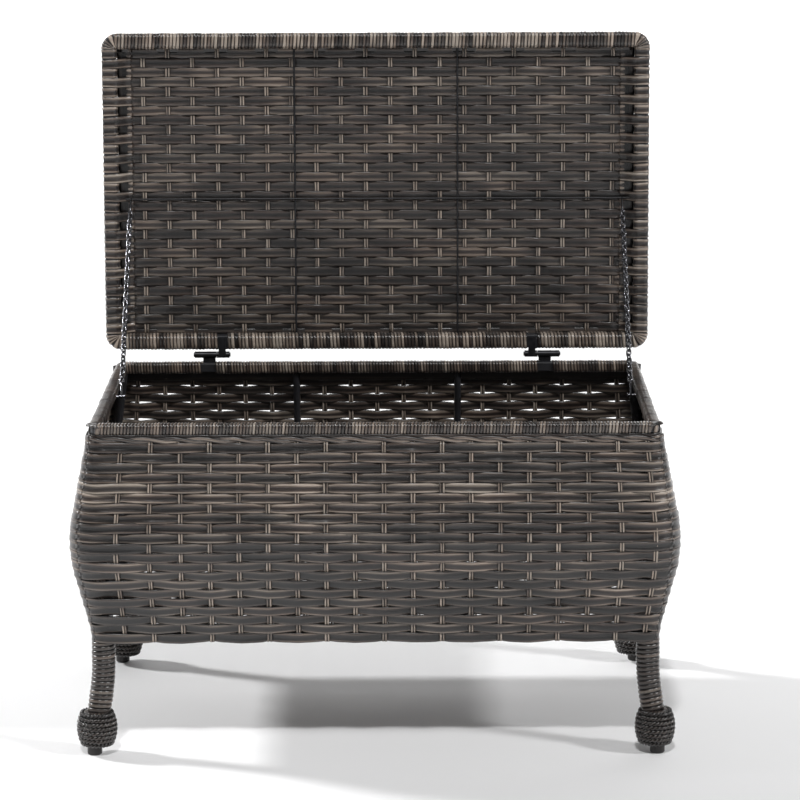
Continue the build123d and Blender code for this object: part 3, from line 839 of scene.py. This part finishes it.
def side_opening_shade(strands, way):
    """A near-black flat strand of painted shade that runs up the lid's edge, behind the openings beside the
    rail.
    """
    up = np.linspace(-PANEL_HALF + 0.001, PANEL_HALF - 0.001, 90)
    x = way * (PANEL_HALF_X - LID_SIDE_ZONE / 2)
    path = lid_point(x + 0.0005 * smooth_noise(up, 4100, 0.06), up, 0.0)
    # painted shade: the strand's near-black tone stands in for the shade seen through the openings
    strands.add(path, X_WAY, LID_OUT, FLAT, LID_SIDE_ZONE + 0.002, STRAND_THICK * 0.6, 0.08, spread=0.1)


def side_wrap_ends(strands, way):
    """Closed loops that turn the side rail's wrapping round its two corners."""
    loops = 3
    radius = LID_EDGE / 2
    ringed = rail_section(LID_EDGE - STRAND_THICK, LID_SECTION - STRAND_THICK, LID_ROUND, 48)
    for group in (-1, 1):
        for k in range(loops):
            turn = (k + 0.5) / loops * math.pi / 4
            out_x = math.cos(turn) * way
            out_up = math.sin(turn) * group
            reach = radius + ringed[:, 0]
            path = lid_point(way * PANEL_HALF_X + out_x * reach, group * PANEL_HALF + out_up * reach,
                             LID_FACE_MIDDLE + ringed[:, 1])
            axis = out_x * X_WAY + out_up * LID_UP
            out = np.cos(ringed[:, 2])[:, None] * axis + np.sin(ringed[:, 2])[:, None] * LID_OUT
            side_way = np.cross(axis, LID_OUT)
            width = np.maximum((radius + ringed[:, 0]) * math.pi / 4 / loops * 1.05, 0.0008)
            strands.add(path, side_way, out, TAPE, width, STRAND_THICK, 0.5, closed=True)


def build_lid_panel():
    """The panel between the rails. It gives the tone of each row."""
    strands = Strands()
    stakes = panel_stakes()
    tones = [panel_strip(strands, row, stakes) for row in range(PANEL_ROWS)]
    for number, place in enumerate(stakes):
        panel_stake_pair(strands, place, number)
    for way in (-1, 1):
        x = np.linspace(-PANEL_HALF_X + 0.004, PANEL_HALF_X - 0.004, 200)
        path = lid_point(x, way * (PANEL_HALF + 0.0005), 0.0004 * smooth_noise(x, 4300, 0.05))
        strands.add(path, LID_UP, LID_OUT, OVAL, PANEL_EDGE_STRAND, STRAND_THICK, 0.18, spread=0.1)
    thing = strands.build("weave_lid_panel", WEAVE)
    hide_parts("lid_panel")
    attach(thing, "lid")
    return tones


def build_lid_sides(tones):
    """The left and right rails, wrapped by the ends of the panel's rows."""
    for way, name in ((-1, "left"), (1, "right")):
        strands = Strands()
        for row in range(PANEL_ROWS):
            side_wrap_strip(strands, way, row, tones[row])
        side_opening_shade(strands, way)
        side_wrap_ends(strands, way)
        thing = strands.build("lid_wrap_" + name + "_strands", WRAP)
        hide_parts("lid_wrap_" + name)
        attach(thing, "lid")


def build_lid_rails():
    """The front and back rails, each wrapped by one wound strand."""
    origin = lid_point(np.zeros(1), 0.0, LID_FACE_MIDDLE)[0]
    run_line = edge_run(PANEL_HALF_X, PANEL_HALF, LID_EDGE / 2)
    bare = leaf_gaps("hinge_lid_leaf_", 0.0045, 0.0175)
    for name, q_way, gaps in (("front", LID_UP, []), ("back", -LID_UP, bare)):
        strands = Strands()
        wrap_rail(strands, run_line, X_WAY, q_way, LID_OUT, origin, LID_EDGE, LID_SECTION, 0.007, LID_TURN,
                  WRAP_THICK, ROUND, samples=30, tone=0.47, spread=0.46, gaps=gaps)
        thing = strands.build("lid_wrap_" + name + "_strands", WRAP)
        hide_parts("lid_wrap_" + name)
        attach(thing, "lid")


def build_lid():
    tones = build_lid_panel()
    build_lid_sides(tones)
    build_lid_rails()


# ---- woven floor ----

def build_floor_weave():
    low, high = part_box("woven_floor")
    strands = Strands()
    middle = (low.z + high.z) / 2
    margin = 0.002
    corner = 0.02
    half_x = high.x - margin
    half_y = high.y - margin
    rows = int(round(2 * half_y / ROW_PITCH))
    pitch = 2 * half_y / rows
    stake_count = 18
    stakes = (np.arange(stake_count) - (stake_count - 1) / 2) * (2 * half_x / (stake_count + 1))
    for row in range(rows):
        y = -half_y + (row + 0.5) * pitch
        past = max(0.0, abs(y) - (half_y - corner))
        reach = half_x - (corner - math.sqrt(max(0.0, corner ** 2 - past ** 2)))
        x = np.linspace(-reach, reach, 120)
        wave, pinch = weave_wave(x, stakes, row)
        path = np.stack([x, np.full(len(x), y), middle + 0.0016 * wave], axis=1)
        strands.add(path, Y_WAY, Z_WAY, FLAT, STRAND_WIDTH - 0.002 * pinch, STRAND_THICK, 0.4)
    for place in stakes:
        for way in (-1, 1):
            y = np.linspace(-half_y + 0.004, half_y - 0.004, 20)
            path = np.stack([np.full(len(y), place + way * STAKE_SPREAD), y, np.full(len(y), middle)], axis=1)
            strands.add(path, X_WAY, Z_WAY, OVAL, 0.003, 0.003, 0.6)
    thing = strands.build("weave_floor", WEAVE)
    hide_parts("woven_floor")
    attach(thing, "chest")


# ---- legs ----

def leg_centre_line(name, sx, sy):
    """The leg's middle line from the top down: it drops straight, then splays out below the bend."""
    tube = np.array([v.co for v in frame["nodes"]["leg_tube_" + name].data.vertices])
    top_ring = tube[tube[:, 2] > tube[:, 2].max() - 0.0005]
    bottom_ring = tube[tube[:, 2] < tube[:, 2].min() + 0.0050]
    start = (top_ring.min(0) + top_ring.max(0)) / 2
    end = (bottom_ring.min(0) + bottom_ring.max(0)) / 2
    out_way = np.array([sx, sy, 0]) / math.sqrt(2)
    splay = (end - start) @ out_way
    z = np.linspace(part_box("leg_wrap_" + name)[1].z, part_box("ball_foot_" + name)[1].z - LEG_TUCK, 60)
    below = LEG_BEND - z
    shift = splay * (np.sqrt(below ** 2 + LEG_SOFTNESS ** 2) + below) / 2 / (LEG_BEND - end[2])
    path = start[None, :] * (X_WAY + Y_WAY) + out_way[None, :] * shift[:, None]
    path[:, 2] = z
    return path


def leg_piece(name, sx, sy):
    """One strand wound closely round a leg."""
    line = resample(leg_centre_line(name, sx, sy), 0.0005)
    steps = np.linalg.norm(np.diff(line, axis=0), axis=1)
    run = np.concatenate([[0], np.cumsum(steps)])
    samples = 40
    turns = int(round(run[-1] / LEG_TURN))
    total = turns * samples
    at = np.arange(total + 1) / samples * (run[-1] / turns)
    base = np.stack([np.interp(at, run, line[:, k]) for k in range(3)], axis=1)
    along = tangent(base)
    first = unit(np.cross(along, Y_WAY))
    second = np.cross(along, first)
    angle = np.arange(total + 1) / samples * 2 * math.pi
    out = first * np.cos(angle)[:, None] + second * np.sin(angle)[:, None]
    radius = LEG_RADIUS - LEG_THICK / 2
    lift = 0.0003 * smooth_noise(at, 41, 0.01)
    path = base + out * (radius + lift)[:, None]
    strands = Strands()
    strands.add(path, along, out, ROUND, LEG_TURN * 1.02, LEG_THICK, 0.26)
    thing = strands.build("leg_wrap_" + name + "_strands", WRAP)
    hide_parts("leg_wrap_" + name)
    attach(thing, "chest")


def ball_outline(name):
    """The ball's outline as (height, radius), its middle and its two ends, from the CAD mesh."""
    low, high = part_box("ball_foot_" + name)
    middle = (np.array(low) + np.array(high)) / 2
    co = np.array([v.co for v in frame["nodes"]["ball_foot_" + name].data.vertices])
    reach = np.hypot(co[:, 0] - middle[0], co[:, 1] - middle[1])
    levels = np.unique(np.round(co[:, 2], 4))
    widest = np.array([reach[np.abs(co[:, 2] - z) < 1e-4].max() for z in levels])
    hull = []
    for z, r in zip(levels, widest):
        while len(hull) > 1 and ((hull[-1][1] - hull[-2][1]) * (z - hull[-2][0])
                                 < (r - hull[-2][1]) * (hull[-1][0] - hull[-2][0])):
            hull.pop()
        hull.append((z, r))
    return np.array(hull), middle, low, high


def ball_rows(strands, hull, middle, low, high):
    """Rows of two strands twined round the ball."""
    pitch = (high.z - low.z) / BALL_ROWS
    angle = np.linspace(0, 2 * math.pi, 111)[:-1]
    ring_out = np.stack([np.cos(angle), np.sin(angle), np.zeros(len(angle))], axis=1)
    for row in range(BALL_ROWS):
        z = low.z + (row + 0.5) * pitch
        level = np.interp(z, hull[:, 0], hull[:, 1]) - BALL_STRAND
        for phase in (0.0, math.pi):
            twist = BALL_TWISTS * angle + phase + (row % 2) * math.pi / 2
            path = ring_out * (level + 0.0013 * np.cos(twist))[:, None]
            path[:, 2] = 0.0015 * np.sin(twist)
            path = path + np.array([middle[0], middle[1], z])
            strands.add(path, Z_WAY, ring_out, OVAL, 0.0044, 0.0046, 0.12, closed=True)


def ball_rods(strands, hull, middle, low, high):
    """The darker rods that the rows are twined on, turned in over the top and under the bottom."""
    depth = 0.0062
    for k in range(BALL_RODS):
        a = 2 * math.pi * k / BALL_RODS
        z = np.linspace(low.z + 0.0015, high.z - 0.0015, 20)
        r = np.interp(z, hull[:, 0], hull[:, 1]) - depth
        ends = np.linspace(0.010, r[0], 5)[:-1]
        r = np.concatenate([ends, r, ends[::-1]])
        z = np.concatenate([np.full(len(ends), z[0]), z, np.full(len(ends), z[-1])])
        path = np.stack([middle[0] + r * math.cos(a), middle[1] + r * math.sin(a), z], axis=1)
        side_way = np.array([-math.sin(a), math.cos(a), 0])
        width = np.clip(2 * math.pi * r / BALL_RODS * 1.04, 0.002, 0.0066)
        strands.add(path, side_way, np.cross(side_way, -tangent(path)), OVAL, width, 0.003, 0.22)


def ball_piece(name):
    outline = ball_outline(name)
    strands = Strands()
    ball_rows(strands, *outline)
    ball_rods(strands, *outline)
    thing = strands.build("ball_foot_" + name + "_strands", WRAP)
    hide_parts("ball_foot_" + name)
    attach(thing, "chest")


CORNERS = [("front_left", -1, -1), ("front_right", 1, -1), ("back_left", -1, 1), ("back_right", 1, 1)]


def build_legs():
    for name, sx, sy in CORNERS:
        leg_piece(name, sx, sy)
        ball_piece(name)


# ---- chains ----

def link_path(run, radius, count=10):
    """A closed oval in its own plane: (along, across) pairs."""
    angle = np.linspace(-math.pi / 2, math.pi / 2, count)
    right = np.stack([run / 2 + radius * np.cos(angle), radius * np.sin(angle)], axis=1)
    left = np.stack([-run / 2 - radius * np.cos(angle), -radius * np.sin(angle)], axis=1)
    return np.concatenate([right, left])


def add_link(strands, centre, along, across, run, radius, wire):
    """One closed link, lying in the plane of along and across."""
    oval = link_path(run, radius)
    path = centre + oval[:, :1] * along + oval[:, 1:] * across
    tang = unit(np.roll(path, -1, axis=0) - np.roll(path, 1, axis=0))
    normal = np.cross(along, across)
    strands.add(path, normal, np.cross(normal, tang), OVAL, 2 * wire, 2 * wire, 0.5, closed=True)


def joint_place(name):
    found = next(j for j in frame["record"]["behaviour"]["joints"] if j["name"] == name)
    return np.array(found["pos_m"], float)


def chain_halves(name):
    """The strands of one stay chain, as its upper and its lower half."""
    top = joint_place("chain_upper_hang_" + name)
    pin = joint_place("chain_lower_hang_" + name)
    way = unit(pin - top)
    span = np.linalg.norm(pin - top)
    flat = np.cross(way, X_WAY)
    corners = np.array([v.co for v in frame["nodes"]["chain_upper_" + name].data.vertices])
    knee = ((corners - top) @ way).max() + 0.0015
    parts = {"upper": Strands(), "lower": Strands()}
    for part, anchor, direction in (("upper", top, way), ("lower", pin, -way)):
        add_link(parts[part], anchor + direction * (HOOK_RUN / 2), direction, flat,
                 HOOK_RUN, HOOK_RADIUS, HOOK_WIRE)
    inner = HOOK_RUN + HOOK_RADIUS
    count = int(round((span - 2 * inner) / LINK_PITCH))
    pitch = (span - 2 * inner) / count
    run = pitch + 2 * LINK_WIRE - 2 * LINK_HALF_WIDTH
    for k in range(count):
        at = inner + (k + 0.5) * pitch
        part = "upper" if at < knee else "lower"
        tilt = math.radians(LINK_TILTS[k % 2])
        cross_way = X_WAY * math.cos(tilt) + flat * math.sin(tilt)
        add_link(parts[part], top + way * at, way, cross_way, run, LINK_HALF_WIDTH, LINK_WIRE)
    return parts


def build_chains():
    for name in ("left", "right"):
        for part, strands in chain_halves(name).items():
            thing = strands.build("stay_chain_" + part + "_" + name, CHAIN)
            body = "chain_" + part + "_" + name
            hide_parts(body)
            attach(thing, body)


# ---- CAD nodes that stay ----

def finish_of(name):
    if name.startswith("hinge"):
        return HINGE
    if name.startswith("lid_wires"):
        return WIRE
    if name.startswith("chain_pins"):
        return CHAIN
    if name.startswith("foot_cap"):
        return PLASTIC
    return STEEL


def paint_cad_nodes():
    for name, thing in frame["nodes"].items():
        if thing.hide_render:
            continue
        thing.data.materials.clear()
        thing.data.materials.append(finish_of(name))


# ---- stage, light and camera ----

def flat_sheet(name, corners, material):
    mesh = bpy.data.meshes.new(name)
    mesh.from_pydata(corners, [], [(0, 1, 2, 3)])
    sheet = bpy.data.objects.new(name, mesh)
    bpy.context.scene.collection.objects.link(sheet)
    mesh.materials.append(material)


def build_stage():
    size = 9.0
    material, tree, shader = new_material("floor_white")
    shader.inputs["Base Color"].default_value = (0.93, 0.93, 0.935, 1)
    shader.inputs["Roughness"].default_value = 0.9
    shader.inputs["Specular IOR Level"].default_value = 0.1
    flat_sheet("floor", [(-size, -size, 0), (size, -size, 0), (size, size, 0), (-size, size, 0)], material)
    material, tree, shader = new_material("backdrop_white")
    shader.inputs["Base Color"].default_value = (1, 1, 1, 1)
    shader.inputs["Emission Color"].default_value = (1, 1, 1, 1)
    shader.inputs["Emission Strength"].default_value = 0.9
    far = 6.5
    flat_sheet("backdrop", [(-size, far, 0), (size, far, 0), (size, far, 6), (-size, far, 6)], material)
    world = bpy.data.worlds.new("studio")
    bpy.context.scene.world = world
    world.use_nodes = True
    world.node_tree.nodes["Background"].inputs["Color"].default_value = (1, 1, 1, 1)
    world.node_tree.nodes["Background"].inputs["Strength"].default_value = 0.12


def sun_light(name, from_way, strength, spread):
    """A soft light from far away. from_way points at the light."""
    data = bpy.data.lights.new(name, "SUN")
    data.energy = strength
    data.angle = math.radians(spread)
    lamp = bpy.data.objects.new(name, data)
    bpy.context.scene.collection.objects.link(lamp)
    lamp.rotation_mode = "QUATERNION"
    lamp.rotation_quaternion = Vector(from_way).to_track_quat("Z", "Y")


def build_light():
    sun_light("key", (-0.24, 0.10, 0.16), strength=2.7, spread=7.0)
    sun_light("side", (0.19, -0.09, 0.13), strength=1.5, spread=8.0)
    sun_light("front_top", (-0.04, -0.56, 0.72), strength=1.3, spread=4.0)


def build_camera():
    data = bpy.data.cameras.new("camera")
    data.lens = 152.6
    data.sensor_width = 36.0
    data.clip_end = 100.0
    camera = bpy.data.objects.new("camera", data)
    bpy.context.scene.collection.objects.link(camera)
    camera.location = (0.044, -4.88, 1.426)
    camera.rotation_mode = "XYZ"
    tilt_down = 11.16
    turn = 0.10
    roll = -0.22
    look = Euler((math.radians(90 - tilt_down), 0, math.radians(turn)), "XYZ").to_matrix()
    rolled = look @ Matrix.Rotation(math.radians(roll), 3, "Z")
    camera.rotation_euler = rolled.to_euler("XYZ")
    bpy.context.scene.camera = camera
    bpy.context.scene.view_settings.view_transform = "Standard"


build_walls()
build_rim()
build_lid()
build_floor_weave()
build_legs()
build_chains()
paint_cad_nodes()
build_stage()
build_light()
build_camera()
